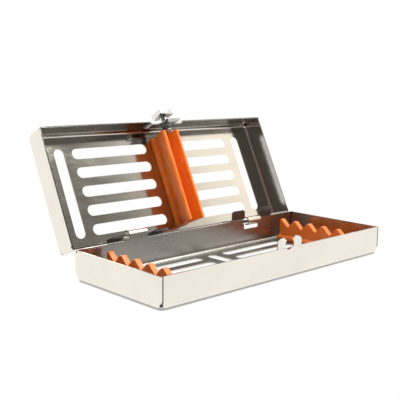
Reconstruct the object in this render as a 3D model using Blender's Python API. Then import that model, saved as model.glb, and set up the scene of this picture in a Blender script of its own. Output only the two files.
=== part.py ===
"""Hinged stainless-steel instrument cassette for five dental hand instruments.

A perforated sheet-metal tray and a matching lid are joined at the back by two curled
sheet-metal hinges. Two toothed silicone racks stand in the tray, a silicone press bar
hangs from the middle of the lid, and a turn latch on the lid's front wall drops into a
forked catch on the tray's front wall. The lid stands at its open stop.

Cassette frame: X to the right along the front, Y from the front wall to the back, Z up.
Its zero is the outer front left bottom corner of the tray. The lid and the latch are
drawn where they lie with the lid shut, and the hinge empty then swings them open.
"""
import math

import bmesh
import bpy
from mathutils import Matrix, Vector

MM = 0.001

# Driving dimensions of the sheet-metal shells
LENGTH = 180.0 * MM
DEPTH = 72.0 * MM
TRAY_HEIGHT = 17.0 * MM
LID_TOP = 32.5 * MM
SHEET = 0.8 * MM
BEND_RADIUS = 2.4 * MM
BEND_STEPS = 5
CORNER_BASE = 3.3 * MM
CORNER_RIM = 0.5 * MM
CORNER_RISES = (3.2 * MM, 4.2 * MM, 5.2 * MM)
RIM_GAP = 0.3 * MM
SEAM_WIDTH = 0.7 * MM
RELIEF_RADIUS = 0.8 * MM
RELIEF_RISE = 2.55 * MM

# The hinge line, just behind and below the tray's back rim, and the open stop
HINGE_Y = DEPTH + 0.8 * MM
HINGE_Z = TRAY_HEIGHT - 0.7 * MM
OPEN_ANGLE = math.radians(115.8)

# The slot pattern shared by the tray floor and the lid plate
MIDDLE_X = 92.2 * MM
LATCH_X = 93.0 * MM
SLOT_WIDTH = 6.6 * MM
SLOT_ROWS = 5
SLOT_PITCH = 11.82 * MM
SLOT_MIDDLE_Y = 36.45 * MM
ROW_ENDS = ((26.2 * MM, 82.3 * MM), (101.6 * MM, 154.0 * MM))
TRAY_END_SLOT_X = (18.7 * MM, 163.3 * MM)
LID_END_SLOT_X = (17.2 * MM, 163.3 * MM)
END_SLOT_LENGTH = 54.8 * MM
MIDDLE_SLOT_LENGTH = 53.4 * MM
ROUND_STEPS = 10

# The curled hinges: the left hook stands on the tray, the right hook hangs from the lid
LEFT_HOOK = (37.2 * MM, 50.2 * MM)
RIGHT_HOOK = (132.2 * MM, 143.8 * MM)
LEFT_TABS = ((23.5 * MM, 34.0 * MM), (53.4 * MM, 64.0 * MM))
RIGHT_TABS = ((119.0 * MM, 130.6 * MM), (145.4 * MM, 156.5 * MM))
TAB_SHEET = 0.7 * MM
STRAP_SHEET = 0.64 * MM
LEFT_HOOK_RADIUS = 2.9 * MM
RIGHT_HOOK_RADIUS = 2.4 * MM
LEFT_HOOK_Z = HINGE_Z + 2.9 * MM
RIGHT_HOOK_Z = HINGE_Z - 2.2 * MM
LEFT_HOOK_TURN = math.radians(222.0)
RIGHT_HOOK_TURN = math.radians(228.0)
LEFT_STRAP = (HINGE_Z + 1.3 * MM, HINGE_Z + 3.1 * MM)
RIGHT_STRAP = (HINGE_Z - 1.9 * MM, HINGE_Z + 0.1 * MM)
STRAP_Y = HINGE_Y - 0.1 * MM
STRAP_RAMP = 1.2 * MM
STRAP_ANCHOR = 0.8 * MM
TAB_Y = HINGE_Y - 2.5 * MM
LEFT_TAB_TIP_Z = HINGE_Z - 5.9 * MM
RIGHT_TAB_TIP_Z = HINGE_Z + 7.6 * MM
TAB_CORNER = 2.0 * MM
WINDOW_PLAY = 0.8 * MM
LEFT_WINDOW_TOP_Z = HINGE_Z + 7.1 * MM
RIGHT_WINDOW_FOOT_Z = HINGE_Z - 5.7 * MM

# The forked catch on the tray, and the recess in the lid's front wall that clears it
CATCH_Z = 19.1 * MM
CATCH_HALF = 10.1 * MM
CATCH_TIP_Z = 22.8 * MM
CATCH_TIP_HALF = 4.8 * MM
NOTCH_RADIUS = 3.6 * MM
NOTCH_MOUTH_HALF = 2.75 * MM
RECESS_DEPTH = 1.4 * MM
RECESS_HALF = 13.5 * MM
RECESS_TOP = 24.6 * MM
TONGUE_HALF = 6.0 * MM
TONGUE_END = 9.5 * MM
TONGUE_CORNER = 2.0 * MM

# The turn latch, on an axis square to the lid's front wall; depths run along Y
PIN_RADIUS = 1.5 * MM
BORE_RADIUS = 1.8 * MM
CAM_LENGTH = 6.6 * MM
CAM_WIDTH = 4.9 * MM
CAM_FACE_Y = -0.15 * MM
CAM_BACK_Y = 0.9 * MM
KNOB_BACK_Y = -3.6 * MM
KNOB_SHEET = 0.8 * MM
KNOB_LEFT_REACH = 4.3 * MM
KNOB_RIGHT_REACH = 6.5 * MM
KNOB_LEFT_WIDTH = 13.6 * MM
KNOB_RIGHT_WIDTH = 7.0 * MM
LEFT_EAR_HEIGHT = 3.2 * MM
RIGHT_EAR_HEIGHT = 4.0 * MM
KNOB_ANGLE = math.radians(-12.0)
WASHER_Y = (2.45 * MM, 2.9 * MM)
SPRING_Y = (3.2 * MM, 5.25 * MM)
CAP_Y = (5.6 * MM, 6.3 * MM)
SPRING_RADIUS = 2.3 * MM
SPRING_WIRE = 0.22 * MM
SPRING_TURNS = 2.5

# The silicone pieces
SILICONE_GAP = 0.3 * MM
RACK_TEETH = 6
RACK_PITCH = 11.57 * MM
RACK_WALL = 3.4 * MM
RACK_TOP = 14.4 * MM
RACK_VALLEY = 9.9 * MM
RACK_LAND = 1.7 * MM
RACK_FOOT_HALF = 4.0 * MM
RACK_FOOT_TOP = 2.9 * MM
RACK_FILLET_TOP = 4.4 * MM
BAR_FRONT_Y = 7.0 * MM
BAR_BACK_Y = 66.3 * MM

WALL_INNER_Y = DEPTH - SHEET
WALL_MIDDLE_Y = DEPTH - SHEET / 2
LID_EDGE_Z = TRAY_HEIGHT + RIM_GAP
PLATE_INNER_Z = LID_TOP - SHEET


# ---------------------------------------------------------------- general helpers

def clear_scene():
    """Remove every object that the scene starts with."""
    for obj in list(bpy.data.objects):
        bpy.data.objects.remove(obj, do_unlink=True)


def make_material(name, colour, roughness, metallic):
    """A plain Principled material."""
    material = bpy.data.materials.new(name)
    material.use_nodes = True
    shader = material.node_tree.nodes["Principled BSDF"]
    shader.inputs["Base Color"].default_value = (*colour, 1.0)
    shader.inputs["Roughness"].default_value = roughness
    shader.inputs["Metallic"].default_value = metallic
    material.diffuse_color = (*colour, 1.0)
    return material


def make_empty(name, location, parent):
    """An empty that carries other pieces."""
    empty = bpy.data.objects.new(name, None)
    empty.empty_display_size = 10.0 * MM
    empty.location = location
    empty.parent = parent
    bpy.context.collection.objects.link(empty)
    return empty


def make_object(name, bm, material, parent, origin=(0.0, 0.0, 0.0)):
    """Turn a bmesh drawn in the cassette frame into an object of its parent's frame."""
    bmesh.ops.translate(bm, verts=bm.verts, vec=-Vector(origin))
    bmesh.ops.recalc_face_normals(bm, faces=bm.faces)
    mesh = bpy.data.meshes.new(name)
    bm.to_mesh(mesh)
    bm.free()
    mesh.shade_smooth()
    mesh.set_sharp_from_angle(angle=math.radians(30.0))
    obj = bpy.data.objects.new(name, mesh)
    obj.parent = parent
    if material:
        mesh.materials.append(material)
    bpy.context.collection.objects.link(obj)
    return obj


def combine(target, name, bm, operation, origin):
    """Join a shape to an object, or cut it away, with a hidden helper object."""
    helper = make_object(name, bm, None, target.parent, origin)
    helper.hide_render = True
    helper.display_type = "WIRE"
    modifier = target.modifiers.new(name, "BOOLEAN")
    modifier.operation = operation
    modifier.solver = "EXACT"
    modifier.object = helper


def add_prism(bm, outline, vector):
    """Sweep a closed outline of points along a vector into a closed solid."""
    low = [bm.verts.new(point) for point in outline]
    high = [bm.verts.new(Vector(point) + Vector(vector)) for point in outline]
    count = len(outline)
    bm.faces.new(low)
    bm.faces.new(high)
    for index in range(count):
        following = (index + 1) % count
        bm.faces.new((low[index], low[following], high[following], high[index]))


def add_box(bm, low, high):
    """An axis-aligned box between two corners."""
    outline = ((low[0], low[1], low[2]), (high[0], low[1], low[2]),
               (high[0], high[1], low[2]), (low[0], high[1], low[2]))
    add_prism(bm, outline, (0.0, 0.0, high[2] - low[2]))


def add_turned(bm, profile, steps, axis_x, axis_z):
    """Turn a closed (y, radius) profile about the line x = axis_x, z = axis_z."""
    rings = []
    for index in range(steps):
        angle = 2.0 * math.pi * index / steps
        ring = []
        for along, radius in profile:
            x = axis_x + radius * math.cos(angle)
            z = axis_z + radius * math.sin(angle)
            ring.append(bm.verts.new((x, along, z)))
        rings.append(ring)
    for index in range(steps):
        here = rings[index]
        there = rings[(index + 1) % steps]
        for corner in range(len(profile)):
            following = (corner + 1) % len(profile)
            bm.faces.new((here[corner], here[following], there[following], there[corner]))


def add_shaft(bm, profile, steps, axis_x, axis_z):
    """Turn an open (y, radius) profile into a solid shaft closed by flat ends."""
    rings = []
    for along, radius in profile:
        ring = []
        for index in range(steps):
            angle = 2.0 * math.pi * index / steps
            x = axis_x + radius * math.cos(angle)
            z = axis_z + radius * math.sin(angle)
            ring.append(bm.verts.new((x, along, z)))
        rings.append(ring)
    bm.faces.new(rings[0])
    bm.faces.new(rings[-1])
    for here, there in zip(rings, rings[1:]):
        for index in range(steps):
            following = (index + 1) % steps
            bm.faces.new((here[index], here[following], there[following], there[index]))


def arc(centre, radius, start, turn, steps):
    """Points on an arc in a plane, from the start angle through a signed turn."""
    points = []
    for index in range(steps + 1):
        angle = start + turn * index / steps
        points.append((centre[0] + radius * math.cos(angle),
                       centre[1] + radius * math.sin(angle)))
    return points


def ribbon(path, thickness):
    """The closed outline of a strip of even thickness that follows a plane path."""
    left = []
    right = []
    last = len(path) - 1
    for index, (u, v) in enumerate(path):
        before = path[max(index - 1, 0)]
        after = path[min(index + 1, last)]
        incoming = Vector((u - before[0], v - before[1]))
        outgoing = Vector((after[0] - u, after[1] - v))
        if index == 0:
            incoming = outgoing
        if index == last:
            outgoing = incoming
        incoming.normalize()
        outgoing.normalize()
        mitre = (incoming + outgoing).normalized()
        half = thickness / 2 / max(mitre.dot(incoming), 0.5)
        left.append((u - mitre.y * half, v + mitre.x * half))
        right.append((u + mitre.y * half, v - mitre.x * half))
    return left + right[::-1]


def stadium(centre, length, width, along_x):
    """The outline of a slot with round ends, in the XY plane."""
    radius = width / 2
    straight = length / 2 - radius
    points = []
    for side in (1.0, -1.0):
        start = -math.pi / 2 if side > 0 else math.pi / 2
        for u, v in arc((side * straight, 0.0), radius, start, math.pi, ROUND_STEPS):
            points.append((u, v) if along_x else (-v, u))
    return [(centre[0] + u, centre[1] + v) for u, v in points]


# ---------------------------------------------------------------- sheet-metal shells

def add_pan(bm, base_z, rim_z):
    """A folded pan: a flat base, four walls and rounded bends, open at the rim.

    The base is at base_z and the walls run to rim_z, which may lie above or below it.
    """
    up = 1.0 if rim_z > base_z else -1.0
    inner_radius = BEND_RADIUS - SHEET
    outer = []
    inner = []
    for index in range(BEND_STEPS + 1):
        angle = math.pi / 2 * index / BEND_STEPS
        outer.append((BEND_RADIUS * (1.0 - math.sin(angle)),
                      BEND_RADIUS * (1.0 - math.cos(angle))))
        inner.append((SHEET + inner_radius * (1.0 - math.sin(angle)),
                      SHEET + inner_radius * (1.0 - math.cos(angle))))
    height = abs(rim_z - base_z)
    outer += [(0.0, rise) for rise in CORNER_RISES]
    inner += [(SHEET, rise) for rise in CORNER_RISES]
    sections = outer + [(0.0, height), (SHEET, height)] + inner[::-1]
    rings = []
    for inset, rise in sections:
        corner = max(corner_radius(rise) - inset, 0.1 * MM)
        outline = rounded_rectangle(inset, corner)
        rings.append([bm.verts.new((x, y, base_z + up * rise)) for x, y in outline])
    bm.faces.new(rings[0])
    bm.faces.new(rings[-1])
    for here, there in zip(rings, rings[1:]):
        count = len(here)
        for index in range(count):
            following = (index + 1) % count
            bm.faces.new((here[index], here[following], there[following], there[index]))


def corner_radius(rise):
    """The drawn corner's radius at a height: round at the base, nearly sharp at the rim."""
    span = CORNER_RISES[-1] - BEND_RADIUS
    share = min(max((rise - BEND_RADIUS) / span, 0.0), 1.0)
    return CORNER_BASE + (CORNER_RIM - CORNER_BASE) * share


def rounded_rectangle(inset, corner):
    """A plan outline of the shell, set in from its outside and with round corners."""
    points = []
    for x, y, start in ((inset, inset, math.pi), (LENGTH - inset, inset, -math.pi / 2),
                        (LENGTH - inset, DEPTH - inset, 0.0), (inset, DEPTH - inset, math.pi / 2)):
        centre_x = x + corner if x < LENGTH / 2 else x - corner
        centre_y = y + corner if y < DEPTH / 2 else y - corner
        points += arc((centre_x, centre_y), corner, start, math.pi / 2, 4)
    return points


def add_slots(bm, end_slots, low_z, high_z):
    """Cutters for the five rows each side, the two end slots and the middle slot."""
    reach = (0.0, 0.0, high_z - low_z)
    outlines = []
    for start, end in ROW_ENDS:
        for row in range(SLOT_ROWS):
            y = SLOT_MIDDLE_Y + (row - (SLOT_ROWS - 1) / 2) * SLOT_PITCH
            outlines.append(stadium(((start + end) / 2, y), end - start, SLOT_WIDTH, True))
    for x in end_slots:
        outlines.append(stadium((x, SLOT_MIDDLE_Y), END_SLOT_LENGTH, SLOT_WIDTH, False))
    outlines.append(stadium((MIDDLE_X, SLOT_MIDDLE_Y), MIDDLE_SLOT_LENGTH, SLOT_WIDTH, False))
    for outline in outlines:
        add_prism(bm, [(x, y, low_z) for x, y in outline], reach)


def add_corner_seams(bm, base_z, rim_z):
    """Cutters for the open seams where the front and back walls butt against the side walls."""
    up = 1.0 if rim_z > base_z else -1.0
    limits = sorted((base_z + up * RELIEF_RISE, rim_z + up * 1.0 * MM))
    for x, side_x in ((SHEET, 1.0), (LENGTH - SHEET, -1.0)):
        across = sorted((x, x + side_x * SEAM_WIDTH))
        for y, side_y in ((0.0, 1.0), (DEPTH, -1.0)):
            along = sorted((y - side_y * MM, y + side_y * (SHEET + 0.6 * MM)))
            add_box(bm, (across[0], along[0], limits[0]), (across[1], along[1], limits[1]))


def add_relief_holes(bm, base_z, rim_z):
    """Cutters for the small round holes at the foot of each corner seam."""
    up = 1.0 if rim_z > base_z else -1.0
    reach = 6.0 * MM
    centre_z = base_z + up * RELIEF_RISE
    for x, side_x in ((0.0, 1.0), (LENGTH, -1.0)):
        for y, side_y in ((0.0, 1.0), (DEPTH, -1.0)):
            axis = Vector((side_x, side_y, 0.0)).normalized()
            sideways = Vector((-axis.y, axis.x, 0.0))
            centre = Vector((x, y, centre_z)) - axis * reach / 2
            ring = []
            for u, v in arc((0.0, 0.0), RELIEF_RADIUS, 0.0, 2.0 * math.pi, 12)[:-1]:
                ring.append(centre + sideways * u + Vector((0.0, 0.0, v)))
            add_prism(bm, ring, axis * reach)


def add_ribbon(bm, path, thickness, ends):
    """A bent strip: a path in the YZ plane, given its thickness and swept along X."""
    outline = [(ends[0], y, z) for y, z in ribbon(path, thickness)]
    add_prism(bm, outline, (ends[1] - ends[0], 0.0, 0.0))


def add_hook(bm, ends, root_z, centre_z, radius, turn):
    """A tab in the plane of the back wall that ends in a curl turning outwards."""
    up = 1.0 if centre_z > root_z else -1.0
    centre = (WALL_MIDDLE_Y + radius, centre_z)
    path = [(WALL_MIDDLE_Y, root_z)]
    path += arc(centre, radius, math.pi, -up * turn, 14)
    add_ribbon(bm, path, TAB_SHEET, ends)


def add_strap(bm, window, limits):
    """The strap that a hook curls round, pressed outwards across its window."""
    left, right = window
    path = ((left - STRAP_RAMP - STRAP_ANCHOR, WALL_MIDDLE_Y), (left - STRAP_RAMP, WALL_MIDDLE_Y),
            (left, STRAP_Y), (right, STRAP_Y),
            (right + STRAP_RAMP, WALL_MIDDLE_Y), (right + STRAP_RAMP + STRAP_ANCHOR, WALL_MIDDLE_Y))
    outline = [(x, y, limits[0]) for x, y in ribbon(path, STRAP_SHEET)]
    add_prism(bm, outline, (0.0, 0.0, limits[1] - limits[0]))


def add_side_tab(bm, ends, root_z, tip_z):
    """A flat guide tab beside a hook, set inwards so that it passes inside the other wall."""
    up = 1.0 if tip_z > root_z else -1.0
    path = ((WALL_MIDDLE_Y, root_z), (WALL_MIDDLE_Y, root_z + up * 1.2 * MM),
            (TAB_Y, root_z + up * 2.6 * MM), (TAB_Y, tip_z))
    add_ribbon(bm, path, TAB_SHEET, ends)


def add_tab_corners(bm, ends, tip_z, up):
    """Cutters that round the two free corners of a side tab."""
    depth = 2.0 * MM
    spare = 0.5 * MM
    for x, side in ((ends[0], 1.0), (ends[1], -1.0)):
        centre = (x + side * TAB_CORNER, tip_z - up * TAB_CORNER)
        start = math.pi if side > 0 else 0.0
        outline = arc(centre, TAB_CORNER, start, -side * up * math.pi / 2, 6)
        outline.append((centre[0], tip_z + up * spare))
        outline.append((x - side * spare, tip_z + up * spare))
        outline.append((x - side * spare, centre[1]))
        add_prism(bm, [(px, TAB_Y - depth / 2, pz) for px, pz in outline], (0.0, depth, 0.0))


def window_of(hook):
    """The width of the opening that a hook turns in."""
    return (hook[0] - WINDOW_PLAY, hook[1] + WINDOW_PLAY)


def add_wall_gap(bm, ends, low_z, high_z):
    """Cutter for a rectangular opening in the back wall."""
    near_y = WALL_INNER_Y - 0.5 * MM
    far_y = DEPTH + 0.5 * MM
    add_box(bm, (ends[0], near_y, low_z), (ends[1], far_y, high_z))


def add_hinge_window(bm, hook, edge_z, strap_z, end_z):
    """Cutter for a stepped opening: wide past the strap's ramps, then as wide as the hook."""
    left, right = window_of(hook)
    wide_left = left - STRAP_RAMP
    wide_right = right + STRAP_RAMP
    near_y = WALL_INNER_Y - 0.5 * MM
    far_y = DEPTH + 0.5 * MM
    outline = ((wide_left, near_y, edge_z), (wide_right, near_y, edge_z),
               (wide_right, near_y, strap_z), (right, near_y, strap_z),
               (right, near_y, end_z), (left, near_y, end_z),
               (left, near_y, strap_z), (wide_left, near_y, strap_z))
    add_prism(bm, outline, (0.0, far_y - near_y, 0.0))


def catch_outline():
    """The forked catch: two horns that curve in to rounded tips beside a notch."""
    mouth_angle = math.acos(NOTCH_MOUTH_HALF / NOTCH_RADIUS)
    shoulder_z = CATCH_Z + 0.9 * MM
    root_z = TRAY_HEIGHT - 3.0 * MM
    tip_round = 0.75 * MM
    reach = CATCH_HALF - CATCH_TIP_HALF - tip_round
    rise = CATCH_TIP_Z - shoulder_z
    points = [(CATCH_HALF, root_z)]
    for index in range(9):
        angle = math.pi / 2 * index / 9
        points.append((CATCH_HALF - reach * (1.0 - math.cos(angle)),
                       shoulder_z + rise * math.sin(angle)))
    tip_centre = (CATCH_TIP_HALF, CATCH_TIP_Z - tip_round)
    points += arc(tip_centre, tip_round, math.pi / 2, math.pi / 2, 5)
    points += arc((0.0, CATCH_Z), NOTCH_RADIUS, mouth_angle, -mouth_angle - math.pi / 2, 12)
    mirrored = [(-x, z) for x, z in points[::-1]]
    return points + mirrored[1:]


def add_catch(bm):
    """The catch plate, slightly thinner than the wall that it grows from."""
    inset = (SHEET - TAB_SHEET) / 2
    outline = [(LATCH_X + x, inset, z) for x, z in catch_outline()]
    add_prism(bm, outline, (0.0, TAB_SHEET, 0.0))


def add_round_hole(bm, radius, near_y, far_y, steps):
    """Cutter for a round hole on the latch axis."""
    ring = arc((LATCH_X, CATCH_Z), radius, 0.0, 2.0 * math.pi, steps)[:-1]
    add_prism(bm, [(x, near_y, z) for x, z in ring], (0.0, far_y - near_y, 0.0))


def add_recess_block(bm, low_z, floor_y, near_y, far_y, half, top_z):
    """A block with sides sloping at 45 degrees; half and top_z are its size at floor_y."""
    rings = []
    for y in (near_y, far_y):
        wide = half + floor_y - y
        top = top_z + floor_y - y
        corners = ((-wide, low_z), (wide, low_z), (wide, top), (-wide, top))
        rings.append([bm.verts.new((LATCH_X + x, y, z)) for x, z in corners])
    bm.faces.new(rings[0])
    bm.faces.new(rings[1])
    for index in range(4):
        following = (index + 1) % 4
        bm.faces.new((rings[0][index], rings[0][following],
                      rings[1][following], rings[1][index]))


def add_tongue(bm):
    """The tongue that hangs from the recess, inside the tray's front wall."""
    left = LATCH_X - TONGUE_HALF
    right = LATCH_X + TONGUE_HALF
    top = LID_EDGE_Z + 1.2 * MM
    foot = TONGUE_END + TONGUE_CORNER
    outline = [(right, top), (left, top)]
    outline += arc((left + TONGUE_CORNER, foot), TONGUE_CORNER, math.pi, math.pi / 2, 6)
    outline += arc((right - TONGUE_CORNER, foot), TONGUE_CORNER, -math.pi / 2, math.pi / 2, 6)
    near_y = RECESS_DEPTH + (SHEET - TAB_SHEET) / 2
    add_prism(bm, [(x, near_y, z) for x, z in outline], (0.0, TAB_SHEET, 0.0))


def build_tray(material, parent):
    """The tray: folded pan, slots, forked catch, left hook, right strap and guide tabs."""
    origin = (0.0, 0.0, 0.0)
    rim = TRAY_HEIGHT + MM
    bm = bmesh.new()
    add_pan(bm, 0.0, TRAY_HEIGHT)
    tray = make_object("tray_base", bm, material, parent, origin)

    bm = bmesh.new()
    add_slots(bm, TRAY_END_SLOT_X, -MM, SHEET + MM)
    combine(tray, "tray_slot_cutter", bm, "DIFFERENCE", origin)

    bm = bmesh.new()
    add_corner_seams(bm, 0.0, TRAY_HEIGHT)
    combine(tray, "tray_edge_cutter", bm, "DIFFERENCE", origin)

    bm = bmesh.new()
    add_relief_holes(bm, 0.0, TRAY_HEIGHT)
    add_hinge_window(bm, RIGHT_HOOK, rim, RIGHT_STRAP[0] - 0.2 * MM, RIGHT_WINDOW_FOOT_Z)
    combine(tray, "tray_hole_cutter", bm, "DIFFERENCE", origin)

    bm = bmesh.new()
    add_catch(bm)
    add_hook(bm, LEFT_HOOK, TRAY_HEIGHT - 2.0 * MM, LEFT_HOOK_Z, LEFT_HOOK_RADIUS, LEFT_HOOK_TURN)
    for ends in RIGHT_TABS:
        add_side_tab(bm, ends, TRAY_HEIGHT - 1.1 * MM, RIGHT_TAB_TIP_Z)
    combine(tray, "tray_tab_joiner", bm, "UNION", origin)

    bm = bmesh.new()
    add_strap(bm, window_of(RIGHT_HOOK), RIGHT_STRAP)
    combine(tray, "tray_strap_joiner", bm, "UNION", origin)

    bm = bmesh.new()
    add_round_hole(bm, NOTCH_RADIUS, -MM, SHEET + MM, 28)
    for ends in RIGHT_TABS:
        add_tab_corners(bm, ends, RIGHT_TAB_TIP_Z, 1.0)
    combine(tray, "tray_corner_cutter", bm, "DIFFERENCE", origin)
    return tray


def build_lid(material, parent, origin):
    """The lid: folded pan, slots, latch recess, tongue, right hook, strap and guide tabs."""
    rim = LID_EDGE_Z - MM
    bm = bmesh.new()
    add_pan(bm, LID_TOP, LID_EDGE_Z)
    lid = make_object("lid_shell", bm, material, parent, origin)

    bm = bmesh.new()
    add_slots(bm, LID_END_SLOT_X, PLATE_INNER_Z - MM, LID_TOP + MM)
    combine(lid, "lid_slot_cutter", bm, "DIFFERENCE", origin)

    bm = bmesh.new()
    add_corner_seams(bm, LID_TOP, LID_EDGE_Z)
    for start, end in RIGHT_TABS:
        add_wall_gap(bm, (start - 0.4 * MM, end + 0.4 * MM), rim, LID_EDGE_Z + 1.2 * MM)
    combine(lid, "lid_edge_cutter", bm, "DIFFERENCE", origin)

    bm = bmesh.new()
    add_relief_holes(bm, LID_TOP, LID_EDGE_Z)
    add_hinge_window(bm, LEFT_HOOK, rim, LEFT_STRAP[1] + 0.2 * MM, LEFT_WINDOW_TOP_Z)
    combine(lid, "lid_hole_cutter", bm, "DIFFERENCE", origin)

    floor_y = RECESS_DEPTH
    floor_half = RECESS_HALF - RECESS_DEPTH
    floor_top = RECESS_TOP - RECESS_DEPTH
    bend = SHEET * math.tan(math.radians(22.5))
    bm = bmesh.new()
    add_recess_block(bm, LID_EDGE_Z + 0.1 * MM, floor_y + SHEET, 0.4 * MM, floor_y + SHEET,
                     floor_half + bend, floor_top + bend)
    combine(lid, "lid_recess_joiner", bm, "UNION", origin)

    bm = bmesh.new()
    add_recess_block(bm, rim, floor_y, -0.5 * MM, floor_y, floor_half, floor_top)
    combine(lid, "lid_recess_cutter", bm, "DIFFERENCE", origin)

    bm = bmesh.new()
    add_tongue(bm)
    add_hook(bm, RIGHT_HOOK, LID_EDGE_Z + 2.0 * MM, RIGHT_HOOK_Z, RIGHT_HOOK_RADIUS, RIGHT_HOOK_TURN)
    for ends in LEFT_TABS:
        add_side_tab(bm, ends, LID_EDGE_Z + 2.6 * MM, LEFT_TAB_TIP_Z)
    combine(lid, "lid_tab_joiner", bm, "UNION", origin)

    bm = bmesh.new()
    add_strap(bm, window_of(LEFT_HOOK), LEFT_STRAP)
    combine(lid, "lid_strap_joiner", bm, "UNION", origin)

    bm = bmesh.new()
    add_round_hole(bm, BORE_RADIUS, 0.0, 4.0 * MM, 20)
    for ends in LEFT_TABS:
        add_tab_corners(bm, ends, LEFT_TAB_TIP_Z, -1.0)
    combine(lid, "lid_corner_cutter", bm, "DIFFERENCE", origin)
    return lid


# ---------------------------------------------------------------- silicone pieces

def rack_teeth_outline():
    """The side outline of a rack: flat-topped teeth with round-footed V valleys."""
    first = SLOT_MIDDLE_Y - (RACK_TEETH - 1) / 2 * RACK_PITCH
    half_land = RACK_LAND / 2
    foot = 0.7 * MM
    start_y = first - half_land
    end_y = first + (RACK_TEETH - 1) * RACK_PITCH + half_land
    low_z = RACK_FOOT_TOP - 1.0 * MM
    points = [(start_y, low_z)]
    for tooth in range(RACK_TEETH):
        middle = first + tooth * RACK_PITCH
        points += [(middle - half_land, RACK_TOP), (middle + half_land, RACK_TOP)]
        if tooth < RACK_TEETH - 1:
            valley = middle + RACK_PITCH / 2
            points += [(valley - foot, RACK_VALLEY + 0.35 * MM), (valley, RACK_VALLEY),
                       (valley + foot, RACK_VALLEY + 0.35 * MM)]
    points.append((end_y, low_z))
    return points


def build_rack(name, middle_x, material, parent):
    """A toothed silicone rack: a wall of teeth on a foot whose plug fills an end slot."""
    origin = (middle_x, SLOT_MIDDLE_Y, 0.0)
    teeth = rack_teeth_outline()
    bm = bmesh.new()
    add_prism(bm, [(middle_x - RACK_WALL / 2, y, z) for y, z in teeth], (RACK_WALL, 0.0, 0.0))
    holder = make_empty(name + "_seat", origin, parent)
    rack = make_object(name, bm, material, holder, origin)

    foot_z = SHEET + SILICONE_GAP
    half = RACK_FOOT_HALF
    blend = RACK_WALL / 2 - 0.05 * MM
    section = ((-half, foot_z), (half, foot_z), (half, RACK_FOOT_TOP),
               (blend, RACK_FILLET_TOP), (-blend, RACK_FILLET_TOP), (-half, RACK_FOOT_TOP))
    start_y = teeth[0][0] - 0.05 * MM
    bm = bmesh.new()
    add_prism(bm, [(middle_x + x, start_y, z) for x, z in section],
              (0.0, teeth[-1][0] - start_y + 0.05 * MM, 0.0))
    combine(rack, name + "_foot_joiner", bm, "UNION", origin)

    plug = stadium((middle_x, SLOT_MIDDLE_Y), END_SLOT_LENGTH - 2 * SILICONE_GAP,
                   SLOT_WIDTH - 2 * SILICONE_GAP, False)
    low_z = 0.1 * MM
    bm = bmesh.new()
    add_prism(bm, [(x, y, low_z) for x, y in plug], (0.0, 0.0, foot_z + 0.6 * MM - low_z))
    combine(rack, name + "_plug_joiner", bm, "UNION", origin)
    return rack


def bar_section():
    """The end outline of the press bar, as (sideways, drop from the lid plate) points."""
    half = [(0.0, 3.4), (1.0, 4.2), (2.1, 10.0), (3.8, 15.9), (4.6, 16.8), (6.0, 16.7), (6.8, 15.8),
            (6.8, 14.2), (5.7, 10.4), (4.1, 7.0), (3.1, 4.8), (3.1, 3.6), (4.0, 2.2), (5.0, 1.7),
            (5.0, 0.0)]
    right = [(u * MM, v * MM) for u, v in half]
    left = [(-u, v) for u, v in right[:0:-1]]
    return right + left


def build_press_bar(material, parent, origin):
    """The silicone press bar: two lips on a waisted foot, plugged into the lid's slot."""
    top_z = PLATE_INNER_Z - SILICONE_GAP
    bm = bmesh.new()
    outline = [(MIDDLE_X + x, BAR_FRONT_Y, top_z - drop) for x, drop in bar_section()]
    add_prism(bm, outline, (0.0, BAR_BACK_Y - BAR_FRONT_Y, 0.0))
    bar = make_object("press_bar", bm, material, parent, origin)

    plug = stadium((MIDDLE_X, SLOT_MIDDLE_Y), MIDDLE_SLOT_LENGTH - 2 * SILICONE_GAP,
                   SLOT_WIDTH - 2 * SILICONE_GAP, False)
    low_z = top_z - 1.0 * MM
    high_z = LID_TOP - 0.1 * MM
    bm = bmesh.new()
    add_prism(bm, [(x, y, low_z) for x, y in plug], (0.0, 0.0, high_z - low_z))
    combine(bar, "press_bar_plug_joiner", bm, "UNION", origin)
    return bar


# ---------------------------------------------------------------- turn latch

def build_latch_pin(material, parent, origin):
    """The pin: a riveted head in front of the knob, a shaft and a peened tail in the cap."""
    head = 2.3 * MM
    neck = 1.2 * MM
    knob_front = KNOB_BACK_Y - KNOB_SHEET
    profile = [(knob_front - 1.15 * MM, 0.9 * MM), (knob_front - 0.9 * MM, 1.8 * MM),
               (knob_front - 0.5 * MM, head), (knob_front - 0.15 * MM, head),
               (knob_front - 0.15 * MM, PIN_RADIUS), (CAP_Y[0] - 0.15 * MM, PIN_RADIUS),
               (CAP_Y[0] - 0.15 * MM, neck), (CAP_Y[1] + 0.15 * MM, neck),
               (CAP_Y[1] + 0.15 * MM, 1.9 * MM), (CAP_Y[1] + 0.4 * MM, 1.7 * MM),
               (CAP_Y[1] + 0.6 * MM, 0.9 * MM)]
    bm = bmesh.new()
    add_shaft(bm, profile, 24, LATCH_X, CATCH_Z)
    return make_object("latch_pin", bm, material, parent, origin)


def build_ring(name, limits, radii, material, parent, origin):
    """A flat ring on the latch axis with a softened outer edge."""
    inner, outer = radii
    near_y, far_y = limits
    soft = 0.12 * MM
    profile = [(near_y, inner), (near_y, outer - soft), (near_y + soft, outer),
               (far_y - soft, outer), (far_y, outer - soft), (far_y, inner)]
    bm = bmesh.new()
    add_turned(bm, profile, 28, LATCH_X, CATCH_Z)
    return make_object(name, bm, material, parent, origin)


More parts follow.
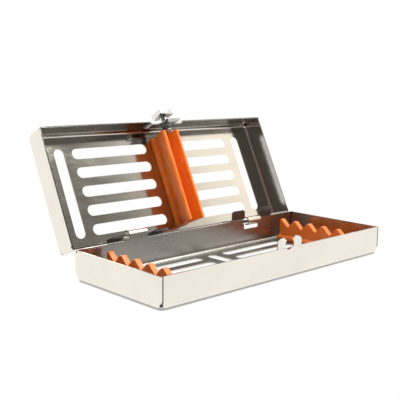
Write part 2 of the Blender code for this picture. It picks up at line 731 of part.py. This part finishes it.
def build_latch_cam(material, parent, origin):
    """The cam on its hub: it enters the notch edge-on and locks when turned across it."""
    half_width = CAM_WIDTH / 2
    radius = CAM_LENGTH / 2
    flat_angle = math.acos(half_width / radius)
    turn = math.pi - 2.0 * flat_angle
    outline = arc((0.0, 0.0), radius, flat_angle, turn, 8)
    outline += arc((0.0, 0.0), radius, math.pi + flat_angle, turn, 8)
    depth = CAM_BACK_Y - CAM_FACE_Y
    bm = bmesh.new()
    add_prism(bm, [(LATCH_X + x, CAM_FACE_Y, CATCH_Z + z) for x, z in outline], (0.0, depth, 0.0))
    cam = make_object("latch_cam", bm, material, parent, origin)

    hub_radius = CAM_WIDTH / 2 - 0.1 * MM
    hub_y = KNOB_BACK_Y + 0.2 * MM
    bm = bmesh.new()
    add_round_hole(bm, hub_radius, hub_y, CAM_FACE_Y + 0.4 * MM, 24)
    combine(cam, "latch_cam_hub_joiner", bm, "UNION", origin)

    bm = bmesh.new()
    add_round_hole(bm, BORE_RADIUS, hub_y - MM, CAM_BACK_Y + MM, 20)
    combine(cam, "latch_cam_bore_cutter", bm, "DIFFERENCE", origin)
    return cam


def swing_knob(bm):
    """Turn the knob's shapes from the latch axis's own frame into the cassette frame."""
    turn = Matrix.Rotation(-KNOB_ANGLE, 3, "Y")
    bmesh.ops.rotate(bm, verts=bm.verts, cent=(0.0, 0.0, 0.0), matrix=turn)
    bmesh.ops.translate(bm, verts=bm.verts, vec=(LATCH_X, 0.0, CATCH_Z))


def build_latch_knob(material, parent, origin):
    """The wing knob: a tapering plate with a finger ear bent up at each end."""
    plate_y = KNOB_BACK_Y - KNOB_SHEET / 2
    bend = 0.6 * MM
    left_tip = plate_y - LEFT_EAR_HEIGHT
    right_tip = plate_y - RIGHT_EAR_HEIGHT
    left = KNOB_SHEET / 2 - KNOB_LEFT_REACH
    right = KNOB_RIGHT_REACH - KNOB_SHEET / 2
    path = ((left - 0.3 * MM, left_tip), (left, plate_y - bend), (left + bend, plate_y),
            (right - bend, plate_y), (right, plate_y - bend), (right - 0.2 * MM, right_tip))
    bm = bmesh.new()
    outline = [(x, y, -KNOB_LEFT_WIDTH / 2) for x, y in ribbon(path, KNOB_SHEET)]
    add_prism(bm, outline, (0.0, 0.0, KNOB_LEFT_WIDTH))
    swing_knob(bm)
    knob = make_object("latch_knob", bm, material, parent, origin)

    bm = bmesh.new()
    add_knob_wedges(bm, plate_y)
    swing_knob(bm)
    combine(knob, "latch_knob_taper_cutter", bm, "DIFFERENCE", origin)

    bm = bmesh.new()
    add_ear_corners(bm, plate_y - RIGHT_EAR_HEIGHT)
    swing_knob(bm)
    combine(knob, "latch_knob_corner_cutter", bm, "DIFFERENCE", origin)

    bm = bmesh.new()
    add_round_hole(bm, BORE_RADIUS, plate_y - MM, plate_y + MM, 20)
    combine(knob, "latch_knob_bore_cutter", bm, "DIFFERENCE", origin)
    return knob


def add_knob_wedges(bm, plate_y):
    """Cutters that taper the knob from its wide left ear to its narrow right ear."""
    left_half = KNOB_LEFT_WIDTH / 2 + 0.1 * MM
    right_half = KNOB_RIGHT_WIDTH / 2
    start_x = 1.2 * MM - KNOB_LEFT_REACH
    shoulder_x = KNOB_RIGHT_REACH - 2.0 * MM
    end_x = KNOB_RIGHT_REACH + 2.0 * MM
    near_y = plate_y - RIGHT_EAR_HEIGHT - MM
    for side in (-1.0, 1.0):
        wedge = ((start_x, side * left_half), (shoulder_x, side * right_half),
                 (end_x, side * right_half), (end_x, side * (left_half + MM)),
                 (start_x, side * (left_half + MM)))
        add_prism(bm, [(x, near_y, z) for x, z in wedge], (0.0, plate_y + MM - near_y, 0.0))


def add_ear_corners(bm, tip_y):
    """Cutters that round the free corners of the knob's right ear."""
    corner = 2.2 * MM
    spare = 0.6 * MM
    low_x = KNOB_RIGHT_REACH - 1.6 * MM
    for side in (-1.0, 1.0):
        edge = side * KNOB_RIGHT_WIDTH / 2
        inner = edge - side * corner
        start = 0.0 if side > 0 else math.pi
        outline = arc((inner, tip_y + corner), corner, start, -side * math.pi / 2, 6)
        outline.append((inner, tip_y - spare))
        outline.append((edge + side * spare, tip_y - spare))
        outline.append((edge + side * spare, tip_y + corner))
        add_prism(bm, [(low_x, y, z) for z, y in outline], (2.6 * MM, 0.0, 0.0))


def build_latch_spring(material, parent, origin):
    """The coil spring on the pin between the washer and the pin's head."""
    start_y, end_y = SPRING_Y
    around = 12
    section_steps = 6
    total = int(SPRING_TURNS * around)
    bm = bmesh.new()
    rings = []
    for index in range(total + 1):
        angle = 2.0 * math.pi * index / around
        y = start_y + (end_y - start_y) * index / total
        ring = []
        for step in range(section_steps):
            section = 2.0 * math.pi * step / section_steps
            radius = SPRING_RADIUS + SPRING_WIRE * math.cos(section)
            ring.append(bm.verts.new((LATCH_X + radius * math.cos(angle),
                                      y + SPRING_WIRE * math.sin(section),
                                      CATCH_Z + radius * math.sin(angle))))
        rings.append(ring)
    bm.faces.new(rings[0])
    bm.faces.new(rings[-1])
    for here, there in zip(rings, rings[1:]):
        for step in range(section_steps):
            following = (step + 1) % section_steps
            bm.faces.new((here[step], here[following], there[following], there[step]))
    return make_object("latch_spring", bm, material, parent, origin)


# ---------------------------------------------------------------- assembly

def back_reach():
    """How far back the open lid reaches, in the cassette frame."""
    centre_y = BEND_RADIUS - HINGE_Y
    centre_z = LID_TOP - BEND_RADIUS - HINGE_Z
    swung_y = centre_y * math.cos(OPEN_ANGLE) + centre_z * math.sin(OPEN_ANGLE)
    return HINGE_Y + swung_y + BEND_RADIUS


def build():
    """Build every piece, with the lid at its open stop."""
    clear_scene()
    steel = make_material("brushed_steel", (0.78, 0.76, 0.72), 0.22, 1.0)
    bright_steel = make_material("bright_steel", (0.72, 0.71, 0.68), 0.18, 1.0)
    spring_steel = make_material("spring_steel", (0.28, 0.28, 0.27), 0.3, 1.0)
    silicone = make_material("orange_silicone", (0.85, 0.25, 0.03), 0.45, 0.0)

    cassette = make_empty("cassette_frame", (-LENGTH / 2, -back_reach() / 2, 0.0), None)
    hinge_point = (0.0, HINGE_Y, HINGE_Z)
    lid_axis = make_empty("lid_hinge_axis", hinge_point, cassette)
    lid_axis.rotation_euler = (-OPEN_ANGLE, 0.0, 0.0)
    latch_point = (LATCH_X, 0.0, CATCH_Z)
    latch_offset = Vector(latch_point) - Vector(hinge_point)
    latch_axis = make_empty("latch_turn_axis", latch_offset, lid_axis)

    build_tray(steel, cassette)
    build_rack("tooth_rack_left", TRAY_END_SLOT_X[0], silicone, cassette)
    build_rack("tooth_rack_right", TRAY_END_SLOT_X[1], silicone, cassette)
    build_lid(steel, lid_axis, hinge_point)
    build_press_bar(silicone, lid_axis, hinge_point)
    build_latch_pin(bright_steel, latch_axis, latch_point)
    build_latch_knob(bright_steel, latch_axis, latch_point)
    build_latch_cam(bright_steel, latch_axis, latch_point)
    build_ring("latch_washer", WASHER_Y, (BORE_RADIUS, 3.2 * MM), bright_steel, latch_axis, latch_point)
    build_latch_spring(spring_steel, latch_axis, latch_point)
    build_ring("latch_cap", CAP_Y, (1.5 * MM, 3.1 * MM), bright_steel, latch_axis, latch_point)


build()
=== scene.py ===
"""The looks of the hinged instrument cassette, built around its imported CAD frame."""

import math

import bmesh
import bpy
from mathutils import Matrix, Vector


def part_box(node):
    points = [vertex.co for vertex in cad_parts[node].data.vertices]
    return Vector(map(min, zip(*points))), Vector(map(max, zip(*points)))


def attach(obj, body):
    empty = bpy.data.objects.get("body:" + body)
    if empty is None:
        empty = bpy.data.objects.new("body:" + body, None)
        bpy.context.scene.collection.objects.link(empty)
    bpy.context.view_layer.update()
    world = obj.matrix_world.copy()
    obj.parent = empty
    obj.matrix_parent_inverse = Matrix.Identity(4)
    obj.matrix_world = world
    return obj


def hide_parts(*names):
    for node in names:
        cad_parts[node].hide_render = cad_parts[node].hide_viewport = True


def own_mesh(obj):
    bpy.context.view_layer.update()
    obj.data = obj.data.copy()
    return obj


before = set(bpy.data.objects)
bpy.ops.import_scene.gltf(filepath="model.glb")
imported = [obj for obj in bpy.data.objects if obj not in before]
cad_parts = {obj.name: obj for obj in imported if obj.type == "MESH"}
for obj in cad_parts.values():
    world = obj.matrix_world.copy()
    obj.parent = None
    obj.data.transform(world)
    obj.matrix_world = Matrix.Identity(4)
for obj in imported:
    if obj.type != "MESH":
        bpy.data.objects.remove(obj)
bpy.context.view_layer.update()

MM = 0.001

# The shells, in millimetres with the lid shut, as in the CAD
LENGTH = 180.0
DEPTH = 72.0
TRAY_RIM = 17.0
LID_RIM = 17.3
LID_TOP = 32.5
SHEET = 0.8
HINGE_Y = 72.8
HINGE_Z = 16.3
TAB_Y = 70.3
LATCH_X = 93.0
LATCH_Z = 19.1
KNOB_BACK_Y = -3.6
OPEN_ANGLE = math.radians(115.8)

# The steel's colours. The outside's two are the steel itself. The others are darker by place: painted
# dark reflections that stand in for dark surroundings those faces would mirror, and painted shade on the
# knob's back.
STEEL_LIGHT = (0.63, 0.595, 0.535)
STEEL_DARK = (0.59, 0.55, 0.49)
INSIDE_PAINTED_REFLECTION = (0.37, 0.357, 0.332)
RIM_EDGE_PAINTED_REFLECTION = (0.2, 0.195, 0.185)
TAB_PAINTED_REFLECTION = (0.1, 0.097, 0.093)
PATCH_PAINTED_REFLECTION = (0.07, 0.07, 0.068)
KNOB_BACK_PAINTED_SHADE = (0.14, 0.137, 0.13)

# How far the grain's noise is stretched along each axis: lengthways, round and all ways alike
SHEET_GRAIN = (60.0, 2600.0, 2600.0)
LATCH_GRAIN = (900.0, 2600.0, 900.0)
WIRE_GRAIN = (2600.0, 2600.0, 2600.0)
WELD_GRAIN = (900.0, 900.0, 900.0)

# The cassette's own zero is the outer front left bottom corner of the tray
tray_low, tray_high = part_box("tray_base")
ZERO = Vector((tray_low.x, tray_low.y, tray_low.z))
HINGE = ZERO + Vector((0.0, HINGE_Y, HINGE_Z)) * MM
TO_LID = Matrix.Translation(HINGE) @ Matrix.Rotation(-OPEN_ANGLE, 4, "X") @ Matrix.Translation(-HINGE)


def base_point(x, y, z):
    """A point given in millimetres from the cassette's zero."""
    return ZERO + Vector((x, y, z)) * MM


def lid_point(x, y, z):
    """The same for a point of the lid, given where it lies with the lid shut."""
    return TO_LID @ base_point(x, y, z)


# ---------------------------------------------------------------- shader helpers

def new_material(name):
    """A material with its node tree, shader and a texture coordinate node."""
    material = bpy.data.materials.new(name)
    material.use_nodes = True
    nodes = material.node_tree.nodes
    coords = nodes.new("ShaderNodeTexCoord")
    return material, nodes, material.node_tree.links, nodes["Principled BSDF"], coords


def scaled_coords(nodes, links, coords, scale):
    """Object coordinates stretched by a scale along each axis."""
    mapping = nodes.new("ShaderNodeMapping")
    mapping.inputs["Scale"].default_value = scale
    links.new(coords.outputs["Object"], mapping.inputs["Vector"])
    return mapping.outputs["Vector"]


def noise(nodes, links, vector, scale, detail, roughness=0.5):
    """A noise texture's value."""
    texture = nodes.new("ShaderNodeTexNoise")
    texture.inputs["Scale"].default_value = scale
    texture.inputs["Detail"].default_value = detail
    texture.inputs["Roughness"].default_value = roughness
    links.new(vector, texture.inputs["Vector"])
    return texture.outputs["Fac"]


def remap(nodes, links, value, low, high, from_low=0.3, from_high=0.7):
    """A value spread over a new range."""
    node = nodes.new("ShaderNodeMapRange")
    node.inputs["From Min"].default_value = from_low
    node.inputs["From Max"].default_value = from_high
    node.inputs["To Min"].default_value = low
    node.inputs["To Max"].default_value = high
    links.new(value, node.inputs["Value"])
    return node.outputs["Result"]


def maths(nodes, links, operation, first, second):
    """Two values combined; each may be a socket or a number."""
    node = nodes.new("ShaderNodeMath")
    node.operation = operation
    for index, value in enumerate((first, second)):
        if isinstance(value, float):
            node.inputs[index].default_value = value
        else:
            links.new(value, node.inputs[index])
    return node.outputs["Value"]


def mixed_colour(nodes, links, factor, first, second):
    """Two colours mixed by a factor; each may be a socket or three numbers."""
    node = nodes.new("ShaderNodeMix")
    node.data_type = "RGBA"
    links.new(factor, node.inputs[0])
    for index, colour in ((6, first), (7, second)):
        if isinstance(colour, tuple):
            node.inputs[index].default_value = (*colour, 1.0)
        else:
            links.new(colour, node.inputs[index])
    return node.outputs[2]


def bump(nodes, links, height, strength, distance):
    """A bump normal from a height value."""
    node = nodes.new("ShaderNodeBump")
    node.inputs["Strength"].default_value = strength
    node.inputs["Distance"].default_value = distance
    links.new(height, node.inputs["Height"])
    return node.outputs["Normal"]


def shell_coords(nodes, links, coords, swung):
    """Coordinates from the middle of a shell's own footprint, in metres, and its height."""
    mapping = nodes.new("ShaderNodeMapping")
    centre = Vector((LENGTH / 2, DEPTH / 2, 0.0)) * MM
    if swung:
        back = Matrix.Rotation(OPEN_ANGLE, 3, "X")
        mapping.inputs["Rotation"].default_value = (OPEN_ANGLE, 0.0, 0.0)
        mapping.inputs["Location"].default_value = HINGE - back @ HINGE - ZERO - centre
    else:
        mapping.inputs["Location"].default_value = -ZERO - centre
    links.new(coords.outputs["Object"], mapping.inputs["Vector"])
    split = nodes.new("ShaderNodeSeparateXYZ")
    links.new(mapping.outputs["Vector"], split.inputs["Vector"])
    return split.outputs


def within(nodes, links, value, middle, reach):
    """One where a value is less than a reach away from its middle, and nothing elsewhere."""
    away = maths(nodes, links, "SUBTRACT", value, middle)
    return maths(nodes, links, "LESS_THAN", maths(nodes, links, "ABSOLUTE", away, 0.0), reach)


def inner_faces(nodes, links, coords, swung):
    """One on the faces inside a shell's walls, and nothing on its outside: where the painted dark
    reflection and the duller polish go.
    """
    across, along, height = shell_coords(nodes, links, coords, swung)
    half_length = (LENGTH - SHEET) / 2 * MM
    half_depth = (DEPTH - SHEET) / 2 * MM
    inside = maths(nodes, links, "MULTIPLY", within(nodes, links, across, 0.0, half_length),
                   within(nodes, links, along, 0.0, half_depth))
    if swung:
        level = maths(nodes, links, "LESS_THAN", height, (LID_TOP - 1.5) * MM)
    else:
        level = maths(nodes, links, "GREATER_THAN", height, SHEET / 2 * MM)
    return maths(nodes, links, "MULTIPLY", inside, level)


def painted_rim_edge_reflection(nodes, links, coords, swung):
    """One on the sheared edge round a shell's rim, where a dark reflection is painted, and nothing
    elsewhere.
    """
    height = shell_coords(nodes, links, coords, swung)[2]
    rim = LID_RIM if swung else TRAY_RIM
    return within(nodes, links, height, rim * MM, 0.06 * MM)


def painted_tab_reflection(nodes, links, coords, swung):
    """One on the flat guide tabs beside the hinges, where a dark reflection is painted, and nothing
    elsewhere.
    """
    along, height = shell_coords(nodes, links, coords, swung)[1:3]
    plane = within(nodes, links, along, (TAB_Y - DEPTH / 2) * MM, 0.6 * MM)
    if swung:
        level = maths(nodes, links, "LESS_THAN", height, (LID_RIM + 1.2) * MM)
    else:
        level = maths(nodes, links, "GREATER_THAN", height, (TRAY_RIM - 1.5) * MM)
    return maths(nodes, links, "MULTIPLY", plane, level)


def painted_patch_reflection(nodes, links, coords):
    """One on a soft-edged patch beside the latch, inside the lid's front wall, where a dark reflection is
    painted.
    """
    across, along = shell_coords(nodes, links, coords, True)[0:2]
    patch = maths(nodes, links, "MULTIPLY",
                  remap(nodes, links, across, 0.0, 1.0, -46.0 * MM, -30.0 * MM),
                  remap(nodes, links, across, 1.0, 0.0, -4.0 * MM, 4.0 * MM))
    front = maths(nodes, links, "LESS_THAN", along, -34.2 * MM)
    return maths(nodes, links, "MULTIPLY", patch, front)


def painted_knob_back_shade(nodes, links, coords):
    """One on the back of the knob's plate, where shade is painted, and nothing elsewhere."""
    along = shell_coords(nodes, links, coords, True)[1]
    return within(nodes, links, along, (KNOB_BACK_Y - DEPTH / 2) * MM, 0.1 * MM)


def sheet_steel(name, light, dark, smooth, rough, grain, inner=None, swung=False, dulled=0.0,
                knob=False):
    """Rolled stainless sheet: fine grain along its length, cloudy polish and faint wipe marks.

    With an inner colour, the steel is darker inside its shell and on the rim, tabs and patch,
    as painted dark reflections, and its inside is rougher by the dulled amount. With knob, the
    knob's back is darker, as painted shade.
    """
    material, nodes, links, shader, coords = new_material(name)
    fine = noise(nodes, links, scaled_coords(nodes, links, coords, grain), 1.0, 4.0, 0.6)
    cloud = noise(nodes, links, scaled_coords(nodes, links, coords, (38.0, 60.0, 60.0)), 1.0, 3.0)
    wipe = noise(nodes, links, scaled_coords(nodes, links, coords, (90.0, 420.0, 420.0)), 1.0, 2.0)
    polish = maths(nodes, links, "ADD", remap(nodes, links, cloud, smooth, rough),
                   remap(nodes, links, fine, -0.03, 0.03))
    polish = maths(nodes, links, "ADD", polish, remap(nodes, links, wipe, -0.015, 0.02))
    tint = maths(nodes, links, "ADD", remap(nodes, links, cloud, 0.0, 0.7),
                 remap(nodes, links, fine, 0.0, 0.3))
    colour = mixed_colour(nodes, links, tint, light, dark)
    if inner:
        # the inside of the shell takes the darker colour: a painted dark reflection
        inside = inner_faces(nodes, links, coords, swung)
        colour = mixed_colour(nodes, links, inside, colour, inner)
        # the sheared rim edge darker: a painted dark reflection
        edges = maths(nodes, links, "MULTIPLY", painted_rim_edge_reflection(nodes, links, coords, swung), 0.85)
        colour = mixed_colour(nodes, links, edges, colour, RIM_EDGE_PAINTED_REFLECTION)
        # the guide tabs near black: a painted dark reflection
        tabs = maths(nodes, links, "MULTIPLY", painted_tab_reflection(nodes, links, coords, swung), 0.9)
        colour = mixed_colour(nodes, links, tabs, colour, TAB_PAINTED_REFLECTION)
        if swung:
            # a near-black patch beside the latch inside the lid's front wall: a painted dark reflection
            patch = maths(nodes, links, "MULTIPLY", painted_patch_reflection(nodes, links, coords), inside)
            patch = maths(nodes, links, "MULTIPLY", patch, 0.92)
            colour = mixed_colour(nodes, links, patch, colour, PATCH_PAINTED_REFLECTION)
        polish = maths(nodes, links, "ADD", polish, maths(nodes, links, "MULTIPLY", inside, dulled))
    if knob:
        # the back of the knob's plate darker: painted shade between the knob and the lid wall
        back = painted_knob_back_shade(nodes, links, coords)
        colour = mixed_colour(nodes, links, back, colour, KNOB_BACK_PAINTED_SHADE)
    links.new(polish, shader.inputs["Roughness"])
    links.new(colour, shader.inputs["Base Color"])
    links.new(bump(nodes, links, fine, 0.12, 0.00004), shader.inputs["Normal"])
    shader.inputs["Metallic"].default_value = 1.0
    return material


def moulded_silicone(name, light, dark, worn):
    """Soft silicone: a fine matte skin, a trace of flow marks, dust-like speckle and a soft sheen."""
    material, nodes, links, shader, coords = new_material(name)
    skin = noise(nodes, links, scaled_coords(nodes, links, coords, (4200.0, 4200.0, 4200.0)), 1.0, 3.0)
    cloud = noise(nodes, links, scaled_coords(nodes, links, coords, (110.0, 60.0, 90.0)), 1.0, 3.0)
    speck = noise(nodes, links, scaled_coords(nodes, links, coords, (1500.0, 1500.0, 1500.0)), 1.0, 1.0)
    scuff = noise(nodes, links, scaled_coords(nodes, links, coords, (620.0, 240.0, 190.0)), 1.0, 3.0)
    colour = mixed_colour(nodes, links, remap(nodes, links, cloud, 0.0, 1.0), light, dark)
    colour = mixed_colour(nodes, links, remap(nodes, links, scuff, 0.0, 0.32, 0.5, 0.7), colour, worn)
    links.new(colour, shader.inputs["Base Color"])
    gloss = maths(nodes, links, "ADD", remap(nodes, links, cloud, 0.40, 0.52),
                  remap(nodes, links, speck, -0.04, 0.05))
    links.new(gloss, shader.inputs["Roughness"])
    links.new(bump(nodes, links, skin, 0.25, 0.00003), shader.inputs["Normal"])
    shader.inputs["Subsurface Weight"].default_value = 0.15
    shader.inputs["Subsurface Radius"].default_value = (0.004, 0.0015, 0.0006)
    shader.inputs["Subsurface Scale"].default_value = 0.5
    shader.inputs["Sheen Weight"].default_value = 0.12
    shader.inputs["Sheen Roughness"].default_value = 0.4
    shader.inputs["Specular IOR Level"].default_value = 0.4
    return material


# ---------------------------------------------------------------- piece helpers

def join_rings(bm, rings):
    """Join rings of vertices into a closed tube with flat ends."""
    bm.faces.new(rings[0])
    bm.faces.new(rings[-1])
    for here, there in zip(rings, rings[1:]):
        for index in range(len(here)):
            following = (index + 1) % len(here)
            bm.faces.new((here[index], here[following], there[following], there[index]))


def piece_from(name, bm, material):
    """Turn a bmesh into a linked object with one material."""
    mesh = bpy.data.meshes.new(name)
    bm.to_mesh(mesh)
    bm.free()
    mesh.materials.append(material)
    piece = bpy.data.objects.new(name, mesh)
    bpy.context.scene.collection.objects.link(piece)
    return piece


def refined(node, name, body, material, width, segments=2, angle=28.0):
    """A finished copy of a CAD node: joined faces, softened edges and even shading."""
    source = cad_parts[node]
    bm = bmesh.new()
    bm.from_mesh(source.data)
    bmesh.ops.remove_doubles(bm, verts=bm.verts, dist=0.000004)
    bmesh.ops.dissolve_limit(bm, angle_limit=math.radians(0.6), verts=bm.verts, edges=bm.edges)
    piece = piece_from(name, bm, material)
    piece.data.shade_smooth()
    soften = piece.modifiers.new("softened_edges", "BEVEL")
    soften.width = width
    soften.segments = segments
    soften.limit_method = "ANGLE"
    soften.angle_limit = math.radians(angle)
    soften.use_clamp_overlap = True
    shading = piece.modifiers.new("even_shading", "WEIGHTED_NORMAL")
    shading.mode = "FACE_AREA"
    shading.keep_sharp = True
    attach(piece, body)
    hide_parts(node)
    return piece


def coil_spring(name, material):
    """The latch spring: closed end turns and an open middle, of round wire."""
    start_y, end_y = 2.98, 5.47
    radius, wire = 2.3, 0.22
    around, section_steps = 40, 12
    turns = 4.4
    closed = 0.8
    closed_height = 0.36
    pitch_turns = turns - 2 * closed
    open_height = end_y - start_y - 2 * wire - 2 * closed_height
    total = int(turns * around)
    bm = bmesh.new()
    rings = []
    for index in range(total + 1):
        turn = index / around
        angle = 2.0 * math.pi * turn
        lead = min(max((turn - closed) / pitch_turns, 0.0), 1.0)
        closed_rise = closed_height * (min(turn, closed) + max(turn - turns + closed, 0.0)) / closed
        y = start_y + wire + closed_rise + open_height * lead
        ring = []
        for step in range(section_steps):
            section = 2.0 * math.pi * step / section_steps
            reach = radius + wire * math.cos(section)
            point = lid_point(LATCH_X + reach * math.cos(angle), y + wire * math.sin(section),
                              LATCH_Z + reach * math.sin(angle))
            ring.append(bm.verts.new(point))
        rings.append(ring)
    join_rings(bm, rings)
    bmesh.ops.recalc_face_normals(bm, faces=bm.faces)
    piece = piece_from(name, bm, material)
    piece.data.shade_smooth()
    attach(piece, "lid")
    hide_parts("latch_spring")
    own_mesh(piece)
    return piece


def corner_welds(name, body, material, swung):
    """The dull weld inside each corner seam of a shell, set a little below its surface, near black as
    painted shade in the seam.

    The weld's centre line bends inwards with the shell's rounded base, and a round plug
    fills the relief hole at the seam's foot.
    """
    place = lid_point if swung else base_point
    base, up, rim = (LID_TOP, -1.0, LID_RIM) if swung else (0.0, 1.0, TRAY_RIM)
    section = ((0.55, abs(rim - base) - 0.35), (0.55, 5.4), (1.2, 2.9), (1.75, 1.5))
    near_x, far_x = 0.72, 1.58
    half_depth = 0.22
    plug_ends = (1.72, 2.25)
    plug_radius = 0.84
    plug_rise = 2.55
    plug_steps = 16
    bm = bmesh.new()
    for x, side_x in ((0.0, 1.0), (LENGTH, -1.0)):
        for y, side_y in ((0.0, 1.0), (DEPTH, -1.0)):
            rings = []
            for inset, rise in section:
                near_y = inset - half_depth
                far_y = inset + half_depth
                corners = ((near_x, near_y), (far_x, near_y), (far_x, far_y), (near_x, far_y))
                rings.append([bm.verts.new(place(x + side_x * a, y + side_y * b, base + up * rise))
                              for a, b in corners])
            join_rings(bm, rings)
            inwards = Vector((side_x, side_y, 0.0)).normalized()
            across = Vector((-inwards.y, inwards.x, 0.0))
            rings = []
            for depth in plug_ends:
                ring = []
                for step in range(plug_steps):
                    angle = 2.0 * math.pi * step / plug_steps
                    spot = inwards * depth + across * plug_radius * math.cos(angle)
                    rise = plug_rise + plug_radius * math.sin(angle)
                    ring.append(bm.verts.new(place(x + spot.x, y + spot.y, base + up * rise)))
                rings.append(ring)
            join_rings(bm, rings)
    bmesh.ops.recalc_face_normals(bm, faces=bm.faces)
    piece = piece_from(name, bm, material)
    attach(piece, body)
    return piece


# ---------------------------------------------------------------- materials and pieces

tray_steel = sheet_steel("tray_sheet_steel", STEEL_LIGHT, STEEL_DARK, 0.17, 0.22, SHEET_GRAIN,
                         INSIDE_PAINTED_REFLECTION, False, 0.10)
lid_steel = sheet_steel("lid_sheet_steel", STEEL_LIGHT, STEEL_DARK, 0.10, 0.15, SHEET_GRAIN,
                        INSIDE_PAINTED_REFLECTION, True, 0.03)
latch_steel = sheet_steel("latch_polished_steel", (0.62, 0.605, 0.57), (0.52, 0.505, 0.48),
                          0.12, 0.2, LATCH_GRAIN, knob=True)
spring_steel = sheet_steel("spring_drawn_wire", (0.24, 0.235, 0.23), (0.16, 0.158, 0.155),
                           0.22, 0.34, WIRE_GRAIN)
silicone = moulded_silicone("orange_moulded_silicone", (0.80, 0.172, 0.008), (0.72, 0.142, 0.005),
                            (0.80, 0.30, 0.16))
# the welds and relief plugs near black: painted shade in the seams and relief holes
weld_steel_with_painted_seam_shade = sheet_steel("dull_weld_painted_seam_shade", (0.085, 0.085, 0.088), (0.05, 0.05, 0.052),
                         0.5, 0.62, WELD_GRAIN)

refined("tray_base", "tray_sheet", "tray", tray_steel, 0.00010)
refined("lid_shell", "lid_sheet", "lid", lid_steel, 0.00010)
refined("tooth_rack_left", "left_rack_moulding", "tray", silicone, 0.00030, 3)
refined("tooth_rack_right", "right_rack_moulding", "tray", silicone, 0.00030, 3)
refined("press_bar", "press_bar_moulding", "lid", silicone, 0.00030, 3)
refined("latch_knob", "knob_plate", "latch_turn_key", latch_steel, 0.00012)
refined("latch_cam", "cam_block", "latch_turn_key", latch_steel, 0.00012)
refined("latch_pin", "riveted_pin", "latch_plunger", latch_steel, 0.00008)
refined("latch_cap", "pin_cap", "latch_plunger", latch_steel, 0.00005)
refined("latch_washer", "spring_washer", "lid", latch_steel, 0.00005)
coil_spring("coiled_spring", spring_steel)
corner_welds("tray_corner_welds", "tray", weld_steel_with_painted_seam_shade, False)
corner_welds("lid_corner_welds", "lid", weld_steel_with_painted_seam_shade, True)


# ---------------------------------------------------------------- floor, light and camera

def add_floor():
    """A plain white floor that gives out its own light, with a thin contact shadow.

    It gives the object more light than the camera sees on it.
    """
    bm = bmesh.new()
    bmesh.ops.create_circle(bm, cap_ends=True, segments=64, radius=6.0)
    mesh = bpy.data.meshes.new("floor")
    bm.to_mesh(mesh)
    bm.free()
    floor = bpy.data.objects.new("floor", mesh)
    floor.location = (0.0, 0.0, -0.00005)
    bpy.context.scene.collection.objects.link(floor)
    material = bpy.data.materials.new("white_floor")
    material.use_nodes = True
    nodes = material.node_tree.nodes
    links = material.node_tree.links
    shade = nodes.new("ShaderNodeAmbientOcclusion")
    shade.samples = 8
    shade.inputs["Distance"].default_value = 0.008
    level = remap(nodes, links, shade.outputs["AO"], 0.42, 1.0, 0.3, 0.5)
    path = nodes.new("ShaderNodeLightPath")
    power = remap(nodes, links, path.outputs["Is Camera Ray"], 1.42, 1.0, 0.0, 1.0)
    white = nodes.new("ShaderNodeEmission")
    links.new(maths(nodes, links, "MULTIPLY", level, power), white.inputs["Strength"])
    links.new(white.outputs["Emission"], nodes["Material Output"].inputs["Surface"])
    mesh.materials.append(material)


def add_world():
    """White surroundings with a dark half, in front and to the left.

    The dark half can be seen above the floor in views from behind.
    """
    world = bpy.data.worlds.new("studio")
    bpy.context.scene.world = world
    world.use_nodes = True
    nodes = world.node_tree.nodes
    links = world.node_tree.links
    coords = nodes.new("ShaderNodeTexCoord")
    facing = nodes.new("ShaderNodeVectorMath")
    facing.operation = "DOT_PRODUCT"
    facing.inputs[1].default_value = Vector((-0.669, -0.743, 0.0))
    links.new(coords.outputs["Generated"], facing.inputs[0])
    ramp = nodes.new("ShaderNodeValToRGB")
    ramp.color_ramp.elements[0].position = 0.47
    ramp.color_ramp.elements[0].color = (1.55, 1.5, 1.38, 1.0)
    ramp.color_ramp.elements[1].position = 0.535
    ramp.color_ramp.elements[1].color = (0.21, 0.2, 0.187, 1.0)
    spread = nodes.new("ShaderNodeMapRange")
    spread.inputs["From Min"].default_value = -1.0
    links.new(facing.outputs["Value"], spread.inputs["Value"])
    links.new(spread.outputs["Result"], ramp.inputs["Fac"])
    background = nodes["Background"]
    links.new(ramp.outputs["Color"], background.inputs["Color"])
    background.inputs["Strength"].default_value = 1.0


def add_softbox(name, location, target, size, power, mirrored):
    """A square area light aimed at a point, which the steel may mirror or not."""
    data = bpy.data.lights.new(name, "AREA")
    data.shape = "SQUARE"
    data.size = size
    data.energy = power
    light = bpy.data.objects.new(name, data)
    direction = Vector(target) - Vector(location)
    light.visible_glossy = mirrored
    light.matrix_world = (Matrix.Translation(location)
                          @ direction.to_track_quat("-Z", "Y").to_matrix().to_4x4())
    bpy.context.scene.collection.objects.link(light)


def add_camera():
    """The camera, low and to the left of the front."""
    yaw = math.radians(-43.16)
    pitch = math.radians(-9.49)
    roll = math.radians(0.50)
    forward = Vector((-math.sin(yaw) * math.cos(pitch), math.cos(yaw) * math.cos(pitch), math.sin(pitch)))
    right = Vector((math.cos(yaw), math.sin(yaw), 0.0))
    up = right.cross(forward)
    tilted_right = right * math.cos(roll) + up * math.sin(roll)
    tilted_up = up * math.cos(roll) - right * math.sin(roll)
    data = bpy.data.cameras.new("camera")
    data.sensor_width = 36.0
    data.lens = 65.82
    data.clip_start = 0.01
    data.clip_end = 50.0
    camera = bpy.data.objects.new("camera", data)
    turn = Matrix((tilted_right, tilted_up, -forward)).transposed().to_4x4()
    camera.matrix_world = Matrix.Translation(base_point(-213.3, -253.6, 109.0)) @ turn
    bpy.context.scene.collection.objects.link(camera)
    bpy.context.scene.camera = camera


add_floor()
add_world()
add_softbox("top_softbox", (0.35, -0.35, 0.95), (0.0, 0.0, 0.0), 0.6, 13.0, True)
add_softbox("front_softbox", (-0.22, -0.78, 0.62), (0.0, 0.0, 0.03), 0.3, 3.6, False)
add_camera()
bpy.context.scene.view_settings.view_transform = "Standard"
